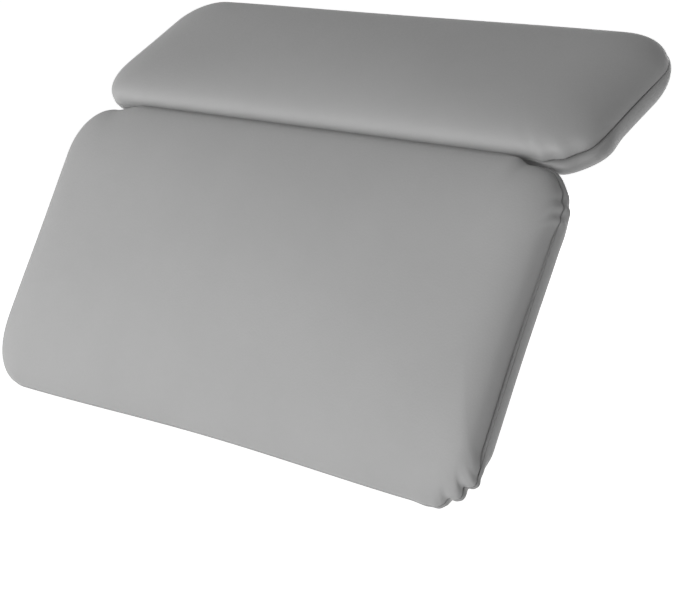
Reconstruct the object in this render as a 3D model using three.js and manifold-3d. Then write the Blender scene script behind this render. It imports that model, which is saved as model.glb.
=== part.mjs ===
// Bath pillow: two vinyl-covered foam cushions joined by a sewn hinge, with suction cups on their backs.
// Millimetres and degrees. X runs along the hinge, Z is up, and the front of the pillow faces -Y.
// The origin is on the tub wall, in the middle of the four lower suction cups.
import * as THREE from "three";
import { mergeVertices } from "three/addons/utils/BufferGeometryUtils.js";
import Module from "manifold-3d";

// Cushions, measured at the seam
const PANEL_WIDTH = 365.5;
const LOWER_HEIGHT = 174;
const UPPER_HEIGHT = 102;
const LOWER_THICKNESS = 41.4;
const UPPER_THICKNESS = 43.6;
const SEAM_HEIGHT = 21; // seam above the flat back
const CORNER_RADIUS = 25;
const DRAW_IN = 0.7; // how far a free side pulls in between its corners, for each 100 of its length

// Front faces: a soft roll up from the seam, and over the whole face a gentle crown.
// The rolls beside the free long side and beside the hinge are shares of the height.
// The crown is a share of the rise from the seam to the top of the front.
const LOWER_END_ROLL = 25.1;
const LOWER_FREE_ROLL = 0.517;
const LOWER_HINGE_ROLL = 0.214;
const LOWER_FRONT_POWER = 2.82;
const LOWER_CROWN = 0.18;
const UPPER_END_ROLL = 60.1;
const UPPER_FREE_ROLL = 0.345;
const UPPER_HINGE_ROLL = 0.4;
const UPPER_FRONT_POWER = 2.64;
const UPPER_CROWN = 0.16;
const CROWN_RADIUS = 12;

// Back faces: a short roll down to a flat, and a longer one beside the hinge, for the fold back
const BACK_ROLL = 16;
const HINGE_BACK_ROLL = 34;
const BACK_RADIUS = 18;
const BACK_POWER = 1.8;

// Covers and clearances
const COVER_WALL = 0.9;
const FIT_GAP = 0.3;

// Pose on the tub
const LOWER_LEAN = 27.45; // from the vertical
const FOLD_BACK = 33.3; // upper cushion, from the plane of the lower one

// Sewn hinge
const HINGE_HALF_GAP = 2.2; // seam to fold line
const HINGE_SETBACK = 7; // end of the strip to the start of the corner
const FLAP_THICKNESS = 1.2;
const SEAM_ALLOWANCE = 10; // sewn into the cushion
const WIDEST_FOLD = 80; // flap ends clear each other up to here

// Suction cups
const CUP_END_INSET = 69; // centre of an outer cup to the end of the cushion
const CUP_ROW_INSET = 48; // centre of a row of lower cups to that end of its own half
const LOWER_CUP_PITCH_X = PANEL_WIDTH - 2 * CUP_END_INSET;
const LOWER_CUP_PITCH_Y = LOWER_HEIGHT - 2 * CUP_ROW_INSET;
const UPPER_CUP_PITCH = PANEL_WIDTH / 2 - CUP_END_INSET;
const CUP_RADIUS = 27.5;
const CUP_STAND_OFF = 16; // sealing rim behind the flat back
const CUP_HOLLOW = 7.5;
const BELL_POWER = 1.3; // 1 is a straight cone
const RIM_LAND = 3; // flat ring that seals on the wall
const RIM_THICKNESS = 1.2;
const BOSS_RADIUS = 11.5;
const BOSS_HEIGHT = 3.4;
const NECK_RADIUS = 4.5;
const NECK_CLEARANCE = 0.5;
const HEAD_RADIUS = 8;
const HEAD_HEIGHT = 4.5;
const HEAD_FLAT = 0.6; // share of the button's radius that is nearly flat
const HEAD_DOME = 0.15; // share of its height that the flat falls by
const HEAD_EDGE = 0.35; // share of its height that its upright edge has
const TAB_LENGTH = 7;
const TAB_WIDTH = 12;
const TAB_THICKNESS = 1.6;
const TAB_BITE = 0.7; // share of the sealing ring that the tab grows from
const TAB_LIFT = 0.4; // share of the rim's thickness below the tab
const WASHER_RADIUS = 11;
const WASHER_THICKNESS = 1.5;
const PATCH_RADIUS = 17;
const PATCH_THICKNESS = 1;

// Facets
const CORNER_STEPS = 5;
const LONG_SIDE_STEPS = 8;
const SHORT_SIDE_STEPS = 4;
const FRONT_STEPS = 7;
const CROWN_STOPS = [0.4, 0.75]; // rings over the crown, from its edge to the tip
const BACK_STEPS = 4;
const ROUND_STEPS = 20;
const OUTSIDE_STOPS = [0, 0.35, 0.7, 1]; // along the bell, from boss to rim
const HOLLOW_STOPS = [1, 0.75, 0.4]; // along the hollow, from rim to middle

const wasm = await Module();
wasm.setup();

const LOWER = {
  name: "lower",
  height: LOWER_HEIGHT,
  thickness: LOWER_THICKNESS,
  endRoll: LOWER_END_ROLL,
  freeRoll: LOWER_FREE_ROLL * LOWER_HEIGHT,
  hingeRoll: LOWER_HINGE_ROLL * LOWER_HEIGHT,
  frontPower: LOWER_FRONT_POWER,
  crownShare: LOWER_CROWN,
  hingeSide: 1,
};
const UPPER = {
  name: "upper",
  height: UPPER_HEIGHT,
  thickness: UPPER_THICKNESS,
  endRoll: UPPER_END_ROLL,
  freeRoll: UPPER_FREE_ROLL * UPPER_HEIGHT,
  hingeRoll: UPPER_HINGE_ROLL * UPPER_HEIGHT,
  frontPower: UPPER_FRONT_POWER,
  crownShare: UPPER_CROWN,
  hingeSide: -1,
};

/** Bottom and top of a cushion's flat or crown, between the rolls on its free side and its hinge side. */
function between(panel, freeRoll, hingeRoll) {
  const half = panel.height / 2;
  return panel.hingeSide > 0
    ? { bottom: -half + freeRoll, top: half - hingeRoll }
    : { bottom: -half + hingeRoll, top: half - freeRoll };
}

const backFlat = (panel) => between(panel, BACK_ROLL, HINGE_BACK_ROLL);
const crownBand = (panel) => between(panel, panel.freeRoll, panel.hingeRoll);

const middleOf = ({ bottom, top }) => (bottom + top) / 2;

/** Middle of the flat back, where the cups are centred. */
const backMiddle = (panel) => middleOf(backFlat(panel));

/** Rounded rectangle at height z, anticlockwise, with its free sides drawn in at the middle. */
function roundedRing(halfWidth, bottom, top, radius, drawIn, hingeSide, z) {
  const right = halfWidth - radius;
  const above = top - radius;
  const below = bottom + radius;
  const topDraw = hingeSide > 0 ? 0 : drawIn;
  const bottomDraw = hingeSide < 0 ? 0 : drawIn;
  const corners = [
    { x: right, y: above, turn: 0, inward: [0, -1], steps: LONG_SIDE_STEPS, draw: topDraw },
    { x: -right, y: above, turn: 1, inward: [1, 0], steps: SHORT_SIDE_STEPS, draw: drawIn },
    { x: -right, y: below, turn: 2, inward: [0, 1], steps: LONG_SIDE_STEPS, draw: bottomDraw },
    { x: right, y: below, turn: 3, inward: [-1, 0], steps: SHORT_SIDE_STEPS, draw: drawIn },
  ];
  const onArc = (corner, share) => {
    const angle = ((corner.turn + share) * Math.PI) / 2;
    return [corner.x + radius * Math.cos(angle), corner.y + radius * Math.sin(angle)];
  };
  const points = [];
  corners.forEach((corner, k) => {
    for (let i = 0; i <= CORNER_STEPS; i++) points.push([...onArc(corner, i / CORNER_STEPS), z]);
    const from = onArc(corner, 1);
    const to = onArc(corners[(k + 1) % 4], 0);
    const deepest = (corner.draw * Math.hypot(to[0] - from[0], to[1] - from[1])) / 100;
    for (let i = 1; i < corner.steps; i++) {
      const share = i / corner.steps;
      const pull = deepest * Math.sin(Math.PI * share) ** 2;
      points.push([
        from[0] + (to[0] - from[0]) * share + corner.inward[0] * pull,
        from[1] + (to[1] - from[1]) * share + corner.inward[1] * pull,
        z,
      ]);
    }
  });
  return points;
}

const mix = (a, b, share) => a + (b - a) * share;
const radians = (degrees) => (degrees * Math.PI) / 180;

/** One ring of a cushion between its seam (share 0) and its front crown or flat back (share 1). */
function cushionRing(panel, inset, core, share, z) {
  const half = panel.height / 2 - inset;
  return roundedRing(
    mix(PANEL_WIDTH / 2 - inset, core.halfWidth, share),
    mix(-half, core.bottom, share),
    mix(half, core.top, share),
    mix(CORNER_RADIUS - inset, core.radius, share),
    mix(DRAW_IN, 0, share),
    panel.hingeSide,
    z,
  );
}

/** How far the gentle crown lifts the front at a point of a cushion. */
function crownLift(panel, x, y) {
  const across = 1 - (x / (PANEL_WIDTH / 2)) ** 2;
  const along = 1 - (y / (panel.height / 2)) ** 2;
  return (panel.thickness - SEAM_HEIGHT) * panel.crownShare * Math.max(across, 0) * Math.max(along, 0);
}

/** Rings of the front face, from the seam up over the roll and the crown, moved inwards by inset. */
function frontRings(panel, inset) {
  const core = { halfWidth: PANEL_WIDTH / 2 - panel.endRoll, ...crownBand(panel), radius: CROWN_RADIUS };
  const base = SEAM_HEIGHT + FIT_GAP / 2;
  const roll = (panel.thickness - SEAM_HEIGHT) * (1 - panel.crownShare) - inset - FIT_GAP / 2;
  const rings = [];
  for (let i = 0; i <= FRONT_STEPS; i++) {
    const angle = radians((i / FRONT_STEPS) * 90);
    const share = 1 - Math.max(Math.cos(angle), 0) ** (2 / panel.frontPower);
    const height = roll * Math.sin(angle) ** (2 / panel.frontPower);
    rings.push(cushionRing(panel, inset, core, share, base + height));
  }
  const edge = rings[FRONT_STEPS];
  const middle = middleOf(crownBand(panel));
  for (const stop of CROWN_STOPS) {
    rings.push(edge.map(([x, y, z]) => [x * (1 - stop), mix(y, middle, stop), z]));
  }
  return rings.map((ring) => ring.map(([x, y, z]) => [x, y, z + crownLift(panel, x, y)]));
}

/** Rings of the back face, from the seam down to the flat back, moved inwards by inset. */
function backRings(panel, inset) {
  const core = { halfWidth: PANEL_WIDTH / 2 - BACK_ROLL, ...backFlat(panel), radius: BACK_RADIUS };
  const base = SEAM_HEIGHT - FIT_GAP / 2;
  const drop = base - inset;
  const rings = [];
  for (let i = 0; i <= BACK_STEPS; i++) {
    const angle = radians((i / BACK_STEPS) * 90);
    const share = 1 - Math.cos(angle) ** (2 / BACK_POWER);
    const depth = drop * Math.sin(angle) ** (2 / BACK_POWER);
    rings.push(cushionRing(panel, inset, core, share, base - depth));
  }
  return rings;
}

/** Closed solid through rings of equal length, each end closed by a fan to a tip. */
function loft(rings, firstTip, lastTip) {
  const count = rings[0].length;
  const positions = rings.flat(2);
  const index = [];
  for (let k = 0; k + 1 < rings.length; k++) {
    for (let i = 0; i < count; i++) {
      const a = k * count + i;
      const b = k * count + ((i + 1) % count);
      index.push(a, b, b + count, a, b + count, a + count);
    }
  }
  const first = positions.length / 3;
  const last = first + 1;
  const top = (rings.length - 1) * count;
  positions.push(...firstTip, ...lastTip);
  for (let i = 0; i < count; i++) {
    const next = (i + 1) % count;
    index.push(first, next, i, last, top + i, top + next);
  }
  const geometry = new THREE.BufferGeometry();
  geometry.setAttribute("position", new THREE.Float32BufferAttribute(positions, 3));
  geometry.setIndex(index);
  return geometry;
}

/** Solid for cutting and joining, from a closed geometry. */
function solid(geometry) {
  const bare = new THREE.BufferGeometry();
  bare.setAttribute("position", geometry.getAttribute("position"));
  bare.setIndex(geometry.getIndex());
  const welded = mergeVertices(bare, 1e-4);
  return new wasm.Manifold(
    new wasm.Mesh({
      numProp: 3,
      vertProperties: new Float32Array(welded.getAttribute("position").array),
      triVerts: new Uint32Array(welded.getIndex().array),
    }),
  );
}

/** Geometry of a cut or joined solid. */
function geometryOf(body) {
  const mesh = body.getMesh();
  const geometry = new THREE.BufferGeometry();
  geometry.setAttribute("position", new THREE.Float32BufferAttribute(mesh.vertProperties, 3));
  geometry.setIndex(new THREE.Uint32BufferAttribute(mesh.triVerts, 1));
  return geometry;
}

const vinyl = (color) => new THREE.MeshStandardMaterial({ color, roughness: 0.55 });
const MATERIALS = {
  cover: () => vinyl(0xa6a6a6),
  back: () => vinyl(0x9c9c9c),
  flap: () => vinyl(0x8e8e8e),
  patch: () => vinyl(0x949494),
  foam: () => new THREE.MeshStandardMaterial({ color: 0xe9e4d2, roughness: 0.95 }),
  cup: () =>
    new THREE.MeshStandardMaterial({ color: 0xcfd8dc, roughness: 0.2, transparent: true, opacity: 0.75 }),
  washer: () => new THREE.MeshStandardMaterial({ color: 0xdadada, roughness: 0.5 }),
};

function part(name, geometry, material) {
  geometry.computeVertexNormals();
  const mesh = new THREE.Mesh(geometry, material());
  mesh.name = name;
  return mesh;
}

/** Cylinder along the cushion's depth between two heights. */
function plug(radius, from, to, [x, y]) {
  return new THREE.CylinderGeometry(radius, radius, to - from, ROUND_STEPS)
    .rotateX(Math.PI / 2)
    .translate(x, y, (from + to) / 2);
}

/** Flat ring between two heights, around a cup's axis, thinned by edge at its outer foot. */
function flatRing(inner, outer, from, to, edge) {
  const profile = [
    [inner, from],
    [outer - edge, from],
    [outer, from + edge],
    [outer, to],
    [inner, to],
    [inner, from],
  ];
  return new THREE.LatheGeometry(
    profile.map(([r, z]) => new THREE.Vector2(r, z)),
    ROUND_STEPS,
  ).rotateX(Math.PI / 2);
}

// Stack at a cup, as heights above the flat back: patch outside, cover, washer and button head inside
const PATCH_TOP = -FIT_GAP;
const PATCH_FOOT = PATCH_TOP - PATCH_THICKNESS;
const BOSS_TOP = PATCH_FOOT - FIT_GAP;
const WASHER_FOOT = COVER_WALL + FIT_GAP;
const WASHER_TOP = WASHER_FOOT + WASHER_THICKNESS;
const HEAD_FOOT = WASHER_TOP + FIT_GAP;
const HEAD_TOP = HEAD_FOOT + HEAD_HEIGHT;
const CUP_BORE = NECK_RADIUS + NECK_CLEARANCE;

/** Suction cup in one piece, along the cushion's depth: button head, neck, boss, bell and lift tab. */
function suctionCup(side) {
  const rimFoot = -CUP_STAND_OFF;
  const rimTop = rimFoot + RIM_THICKNESS;
  const bossFoot = BOSS_TOP - BOSS_HEIGHT;
  const landInner = CUP_RADIUS - RIM_LAND;
  const outside = (share) => [
    mix(BOSS_RADIUS, CUP_RADIUS, share),
    mix(bossFoot, rimTop, share ** BELL_POWER),
  ];
  const hollow = (share) => [landInner * share, rimFoot + CUP_HOLLOW * (1 - share ** 2)];
  const profile = [
    [0, HEAD_TOP],
    [HEAD_RADIUS * HEAD_FLAT, HEAD_TOP - HEAD_HEIGHT * HEAD_DOME],
    [HEAD_RADIUS, HEAD_FOOT + HEAD_HEIGHT * HEAD_EDGE],
    [HEAD_RADIUS, HEAD_FOOT],
    [NECK_RADIUS, HEAD_FOOT],
    [NECK_RADIUS, BOSS_TOP],
    [BOSS_RADIUS, BOSS_TOP],
    ...OUTSIDE_STOPS.map(outside),
    [CUP_RADIUS, rimFoot],
    ...HOLLOW_STOPS.map(hollow),
    hollow(0),
  ];
  const bell = new THREE.LatheGeometry(
    profile.reverse().map(([r, z]) => new THREE.Vector2(r, z)),
    ROUND_STEPS,
  ).rotateX(Math.PI / 2);

  const root = CUP_RADIUS - RIM_LAND * TAB_BITE;
  const straight = CUP_RADIUS + TAB_LENGTH - TAB_WIDTH / 2;
  const tongue = new THREE.Shape();
  tongue.moveTo(root, -TAB_WIDTH / 2);
  tongue.lineTo(straight, -TAB_WIDTH / 2);
  tongue.absarc(straight, 0, TAB_WIDTH / 2, -Math.PI / 2, Math.PI / 2);
  tongue.lineTo(root, TAB_WIDTH / 2);
  const flat = { depth: TAB_THICKNESS, bevelEnabled: false, curveSegments: 8 };
  const tab = new THREE.ExtrudeGeometry(tongue, flat)
    .translate(0, 0, rimFoot + RIM_THICKNESS * TAB_LIFT)
    .rotateZ(side > 0 ? 0 : Math.PI);
  return solid(bell).add(solid(tab));
}

/** Centres of a cushion's cups on its flat back, from left to right and from the bottom up. */
function cupCentres(panel) {
  const middle = backMiddle(panel);
  if (panel.hingeSide < 0) return [-1, 0, 1].map((k) => [k * UPPER_CUP_PITCH, middle]);
  return [-1, 1].flatMap((row) =>
    [-1, 1].map((k) => [(k * LOWER_CUP_PITCH_X) / 2, middle + (row * LOWER_CUP_PITCH_Y) / 2]),
  );
}

/** Strip sewn into a cushion's seam, ending in a round edge at the fold line. */
function hingeFlap(panel) {
  const half = panel.height / 2;
  const length = PANEL_WIDTH - 2 * CORNER_RADIUS - 2 * HINGE_SETBACK;
  const round = FLAP_THICKNESS / 2;
  const foldHalf = radians(WIDEST_FOLD / 2);
  const edge = half + HINGE_HALF_GAP - (round + FIT_GAP / 2) / Math.cos(foldHalf);
  const sewn = half - SEAM_ALLOWANCE;
  const outline = new THREE.Shape();
  outline.moveTo(sewn, -round);
  outline.lineTo(edge, -round);
  outline.absarc(edge, 0, round, -Math.PI / 2, Math.PI / 2);
  outline.lineTo(sewn, round);
  const alongPanel = new THREE.Matrix4().makeBasis(
    new THREE.Vector3(0, 1, 0),
    new THREE.Vector3(0, 0, 1),
    new THREE.Vector3(1, 0, 0),
  );
  const flap = new THREE.ExtrudeGeometry(outline, { depth: length, bevelEnabled: false, curveSegments: 6 })
    .translate(0, 0, -length / 2)
    .applyMatrix4(alongPanel)
    .translate(0, 0, SEAM_HEIGHT);
  const slotFrom = sewn - FIT_GAP;
  const slotTo = half + HINGE_HALF_GAP;
  const slot = new THREE.BoxGeometry(
    length + 2 * FIT_GAP,
    slotTo - slotFrom,
    FLAP_THICKNESS + 2 * FIT_GAP,
  ).translate(0, (slotFrom + slotTo) / 2, SEAM_HEIGHT);
  if (panel.hingeSide < 0) {
    flap.rotateZ(Math.PI);
    slot.rotateZ(Math.PI);
  }
  return { flap, slot };
}

/** One cushion with its covers, core, flap and cups, in its own frame: back at z = 0, front towards +z. */
function cushion(panel) {
  const middleUp = middleOf(crownBand(panel));
  const top = panel.thickness + crownLift(panel, 0, middleUp) - crownLift(panel, 0, 0);
  const tip = (z) => [0, middleUp, z];
  const wall = COVER_WALL;
  const core = COVER_WALL + FIT_GAP;
  const middle = backMiddle(panel);
  const centres = cupCentres(panel);
  const { flap, slot } = hingeFlap(panel);
  const slotSolid = solid(slot);

  const frontCover = loft(
    [...frontRings(panel, wall).reverse(), ...frontRings(panel, 0)],
    tip(top - wall),
    tip(top),
  );
  const backCover = loft(
    [...backRings(panel, 0).reverse(), ...backRings(panel, wall)],
    [0, middle, 0],
    [0, middle, wall],
  );
  const foam = loft(
    [...backRings(panel, core).reverse(), ...frontRings(panel, core)],
    [0, middle, core],
    tip(top - core),
  );

  let backSolid = solid(backCover).subtract(slotSolid);
  let foamSolid = solid(foam).subtract(slotSolid);
  const pocket = Math.max(WASHER_RADIUS, HEAD_RADIUS) + FIT_GAP;
  for (const centre of centres) {
    backSolid = backSolid.subtract(solid(plug(CUP_BORE, -1, wall + 1, centre)));
    foamSolid = foamSolid.subtract(solid(plug(pocket, 0, HEAD_TOP + FIT_GAP, centre)));
  }

  const group = new THREE.Group();
  group.add(
    part(`${panel.name}_front_cover`, geometryOf(solid(frontCover).subtract(slotSolid)), MATERIALS.cover),
    part(`${panel.name}_back_cover`, geometryOf(backSolid), MATERIALS.back),
    part(`${panel.name}_foam_core`, geometryOf(foamSolid), MATERIALS.foam),
    part(`${panel.name}_hinge_flap`, geometryOf(solid(flap)), MATERIALS.flap),
  );
  centres.forEach(([x, y], i) => {
    const label = `${panel.name}_${i + 1}`;
    const patch = flatRing(CUP_BORE, PATCH_RADIUS, PATCH_FOOT, PATCH_TOP, PATCH_THICKNESS / 2);
    const washer = flatRing(CUP_BORE, WASHER_RADIUS, WASHER_FOOT, WASHER_TOP, WASHER_THICKNESS / 4);
    const pieces = [
      part(`suction_cup_${label}`, geometryOf(suctionCup(x < 0 ? -1 : 1)), MATERIALS.cup),
      part(`cup_patch_${label}`, patch, MATERIALS.patch),
      part(`cup_washer_${label}`, washer, MATERIALS.washer),
    ];
    for (const piece of pieces) piece.position.set(x, y, 0);
    group.add(...pieces);
  });
  return group;
}

// Lower cushion: leant back, with the middle of its cups' rims at the origin
const lower = cushion(LOWER);
lower.position.set(0, -backMiddle(LOWER), CUP_STAND_OFF);

// Upper cushion: turned back about the fold line, which runs at seam height between the two seams
const upper = cushion(UPPER);
upper.position.set(0, HINGE_HALF_GAP + UPPER_HEIGHT / 2, -SEAM_HEIGHT);
const fold = new THREE.Group();
fold.add(upper);
fold.position.set(0, LOWER_HEIGHT / 2 + HINGE_HALF_GAP - backMiddle(LOWER), SEAM_HEIGHT + CUP_STAND_OFF);
fold.rotation.x = -radians(FOLD_BACK);

const leaning = new THREE.Group();
leaning.add(lower, fold);
leaning.rotation.x = radians(90 - LOWER_LEAN);

const group = new THREE.Group();
group.name = "bath_pillow";
group.add(leaning);
export default group;
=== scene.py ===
"""Looks of a bath pillow: two vinyl cushions, the sewn hinge between them and the cups on their backs."""

import logging
import math
from dataclasses import dataclass, field, replace
from enum import Enum

import bpy
import numpy as np
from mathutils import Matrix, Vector


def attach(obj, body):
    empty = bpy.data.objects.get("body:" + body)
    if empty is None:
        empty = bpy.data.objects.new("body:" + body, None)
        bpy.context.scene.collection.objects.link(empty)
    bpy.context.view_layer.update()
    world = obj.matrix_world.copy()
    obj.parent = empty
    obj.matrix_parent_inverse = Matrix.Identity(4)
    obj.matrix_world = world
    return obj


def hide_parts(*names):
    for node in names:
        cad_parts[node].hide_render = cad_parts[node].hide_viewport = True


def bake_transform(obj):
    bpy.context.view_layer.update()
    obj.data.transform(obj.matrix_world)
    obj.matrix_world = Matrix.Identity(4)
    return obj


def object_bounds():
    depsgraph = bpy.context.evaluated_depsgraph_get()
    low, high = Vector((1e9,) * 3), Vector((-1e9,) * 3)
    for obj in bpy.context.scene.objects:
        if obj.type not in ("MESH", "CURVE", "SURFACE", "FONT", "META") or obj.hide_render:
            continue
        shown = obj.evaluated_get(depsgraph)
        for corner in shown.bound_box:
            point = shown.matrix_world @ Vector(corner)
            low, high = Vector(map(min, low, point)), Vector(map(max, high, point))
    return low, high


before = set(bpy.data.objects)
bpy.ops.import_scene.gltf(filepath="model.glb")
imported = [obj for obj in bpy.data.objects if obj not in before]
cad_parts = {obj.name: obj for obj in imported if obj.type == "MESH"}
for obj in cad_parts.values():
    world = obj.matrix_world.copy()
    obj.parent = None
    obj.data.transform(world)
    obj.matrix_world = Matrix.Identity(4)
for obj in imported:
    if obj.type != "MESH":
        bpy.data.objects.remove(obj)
CAD_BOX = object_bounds()

Knots = tuple[tuple[float, float], ...]  # places, or steps, with a value at each
Faces = list[tuple[int, ...]]
Point = tuple[float, float, float]
Span = tuple[float, float]

LOG = logging.getLogger("bath_pillow")
MM = 0.001
PAINTED_SHADE_ATTRIBUTE = "groove"  # name of the attribute that holds how much painted shade a point gets, most deep in the groove of a seam

# Sizes that several pieces share, in millimetres and degrees, as in the part's source
PANEL_WIDTH = 365.5
SEAM_HEIGHT = 21.0
CORNER_RADIUS = 25.0
LOWER_HEIGHT = 174.0
UPPER_HEIGHT = 102.0
LOWER_LEAN = 27.45
FOLD_BACK = 33.3
HINGE_HALF_GAP = 2.2
CUP_STAND_OFF = 16.0
FIT_GAP = 0.3
COVER_WALL = 0.9
BACK_ROLL = 16.0
HINGE_BACK_ROLL = 34.0
CUP_END_INSET = 69.0  # from a cushion's ends to the middles of its cups
CUP_ROW_INSET = 48.0  # same from the lower cushion's long sides, if its flat back were centred
SEAM_STITCH_DEPTH = 0.85  # how deep the stitches lie in the groove of a seam
FRONT_FADE = 2  # how sharply the folds of a gather end on the front
BACK_FADE = 4  # and on the back
EDGE_SHARE = 0.45  # most of an edge that one rounding may take up


class Side(Enum):
    """Which of the two cushions, with the sign of the way to its hinge."""

    LOWER = 1
    UPPER = -1

    @property
    def label(self) -> str:
        """Word that the piece names start with."""
        return self.name.lower()

    @property
    def body(self) -> str:
        """Moving body that the cushion belongs to."""
        return f"{self.label}_panel"


def linear(code: str) -> tuple[float, float, float, float]:
    """Turns an sRGB hex colour into linear values for a shader.

    Args:
        code: Six hex digits after a hash sign.

    Returns:
        Red, green, blue and an alpha of one.
    """
    values = []
    for start in (1, 3, 5):
        share = int(code[start : start + 2], 16) / 255
        values.append(share / 12.92 if share <= 0.04045 else ((share + 0.055) / 1.055) ** 2.4)
    return (*values, 1.0)


def add_node(tree: bpy.types.NodeTree, kind: str, inputs: dict | None = None, **settings) -> bpy.types.Node:
    """Adds a node with its settings and links.

    Args:
        tree: Tree that gets the node.
        kind: Blender's name of the node type.
        inputs: Values or sockets for its inputs, by name or number.
        settings: Properties of the node itself.

    Returns:
        The new node.
    """
    made = tree.nodes.new(kind)
    for name, value in settings.items():
        setattr(made, name, value)
    for name, value in (inputs or {}).items():
        if isinstance(value, bpy.types.NodeSocket):
            tree.links.new(value, made.inputs[name])
        else:
            made.inputs[name].default_value = value
    return made


def fresh_material(name: str) -> tuple[bpy.types.Material, bpy.types.NodeTree]:
    """Makes an empty node material.

    Args:
        name: Its name.

    Returns:
        The material and its cleared node tree.
    """
    material = bpy.data.materials.new(name)
    material.use_nodes = True
    material.node_tree.nodes.clear()
    return material, material.node_tree


@dataclass(frozen=True)
class GrainedVinyl:
    """Calendered PVC leathercloth, embossed with a fine pebble and wiped to a satin.

    The pebble breaks up the highlight, the backing lets the sheet ripple a little between its fibres,
    and both show as a soft, slightly uneven sheen on one even grey. Painted shade darkens the grey deep in
    the seams.
    """

    name: str
    light: str
    dark: str
    roughness: float = 0.5
    pebble_mm: float = 1.2  # twice the real 0.6, so that it shows a step away
    pebble_depth_mm: float = 0.035
    pebble_span: Span = (0.1, 0.7)  # from the middle of a pebble to the gap beside it
    polish: Span = (-0.06, 0.08)  # how far the roughness differs there
    ripple_mm: float = 16.0
    ripple_depth_mm: float = 0.11
    shade_mm: float = 45.0
    ior: float = 1.52
    groove: str = "#4C4C4C"  # painted shade that darkens the groove where two sheets are sewn together
    groove_share: float = 0.25

    def material(self) -> bpy.types.Material:
        """Builds the material."""
        material, tree = fresh_material(self.name)
        place = add_node(tree, "ShaderNodeTexCoord").outputs["Object"]
        cloud = {"Vector": place, "Scale": 1 / (self.shade_mm * MM), "Detail": 3.0, "Roughness": 0.55}
        shade = add_node(tree, "ShaderNodeTexNoise", cloud)
        greys = {"Factor": shade.outputs["Fac"], "A": linear(self.dark), "B": linear(self.light)}
        colour = add_node(tree, "ShaderNodeMix", greys, data_type="RGBA")
        # Painted shade in the seams: each point's attribute darkens the colour towards the groove colour
        sewn = add_node(tree, "ShaderNodeAttribute", attribute_name=PAINTED_SHADE_ATTRIBUTE)
        depth = {0: sewn.outputs["Fac"], 1: self.groove_share}
        painted_shade = add_node(tree, "ShaderNodeMath", depth, operation="MULTIPLY")
        shade_mix = {"Factor": painted_shade.outputs[0], "A": colour.outputs["Result"], "B": linear(self.groove)}
        shaded_colour = add_node(tree, "ShaderNodeMix", shade_mix, data_type="RGBA")
        cells = {"Vector": place, "Scale": 1 / (self.pebble_mm * MM), "Smoothness": 0.6}
        pebble = add_node(tree, "ShaderNodeTexVoronoi", cells, feature="SMOOTH_F1").outputs["Distance"]
        waves = {"Vector": place, "Scale": 1 / (self.ripple_mm * MM), "Detail": 2.0, "Roughness": 0.5}
        ripple = add_node(tree, "ShaderNodeTexNoise", waves)
        sheen = {
            "Value": pebble,
            "From Min": self.pebble_span[0],
            "From Max": self.pebble_span[1],
            "To Min": self.roughness + self.polish[0],
            "To Max": self.roughness + self.polish[1],
        }
        rough = add_node(tree, "ShaderNodeMapRange", sheen)
        swell = {"Strength": 1.0, "Distance": self.ripple_depth_mm * MM, "Height": ripple.outputs["Fac"]}
        low = add_node(tree, "ShaderNodeBump", swell).outputs["Normal"]
        grain = {"Strength": 1.0, "Distance": self.pebble_depth_mm * MM, "Height": pebble, "Normal": low}
        fine = add_node(tree, "ShaderNodeBump", grain, invert=True)
        skin = {
            "Base Color": shaded_colour.outputs["Result"],
            "Roughness": rough.outputs["Result"],
            "IOR": self.ior,
            "Normal": fine.outputs["Normal"],
        }
        body = add_node(tree, "ShaderNodeBsdfPrincipled", skin)
        add_node(tree, "ShaderNodeOutputMaterial", {"Surface": body.outputs["BSDF"]})
        return material


@dataclass(frozen=True)
class ClearPvc:
    """Soft PVC moulded clear: glossy and see-through, with a faint cool tint and a slight haze."""

    name: str = "moulded_clear_pvc"
    tint: str = "#E4ECEE"
    haze_mm: float = 6.0
    haze_span: Span = (0.3, 0.7)
    roughness: Span = (0.08, 0.2)  # where the haze is thin and where it is thick
    ior: float = 1.53
    clearness: float = 0.85

    def material(self) -> bpy.types.Material:
        """Builds the material."""
        material, tree = fresh_material(self.name)
        place = add_node(tree, "ShaderNodeTexCoord").outputs["Object"]
        cloud = {"Vector": place, "Scale": 1 / (self.haze_mm * MM), "Detail": 4.0}
        haze = add_node(tree, "ShaderNodeTexNoise", cloud).outputs["Fac"]
        (thin, thick), (glossy, dull) = self.haze_span, self.roughness
        sheen = {"Value": haze, "From Min": thin, "From Max": thick, "To Min": glossy, "To Max": dull}
        rough = add_node(tree, "ShaderNodeMapRange", sheen)
        skin = {
            "Base Color": linear(self.tint),
            "Roughness": rough.outputs["Result"],
            "IOR": self.ior,
            "Transmission Weight": self.clearness,
        }
        body = add_node(tree, "ShaderNodeBsdfPrincipled", skin)
        add_node(tree, "ShaderNodeOutputMaterial", {"Surface": body.outputs["BSDF"]})
        return material


@dataclass(frozen=True)
class MouldedWasher:
    """Polypropylene, moulded with a fine spark texture: a waxy off-white with a dull sheen."""

    name: str = "moulded_polypropylene"
    shade: str = "#D9D9D6"
    spark_mm: float = 0.5
    spark_depth_mm: float = 0.02
    roughness: float = 0.48
    ior: float = 1.49

    def material(self) -> bpy.types.Material:
        """Builds the material."""
        material, tree = fresh_material(self.name)
        place = add_node(tree, "ShaderNodeTexCoord").outputs["Object"]
        spark = add_node(tree, "ShaderNodeTexNoise", {"Vector": place, "Scale": 1 / (self.spark_mm * MM)})
        dents = {"Distance": self.spark_depth_mm * MM, "Height": spark.outputs["Fac"]}
        bump = add_node(tree, "ShaderNodeBump", dents)
        skin = {
            "Base Color": linear(self.shade),
            "Roughness": self.roughness,
            "IOR": self.ior,
            "Normal": bump.outputs["Normal"],
        }
        body = add_node(tree, "ShaderNodeBsdfPrincipled", skin)
        add_node(tree, "ShaderNodeOutputMaterial", {"Surface": body.outputs["BSDF"]})
        return material


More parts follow.
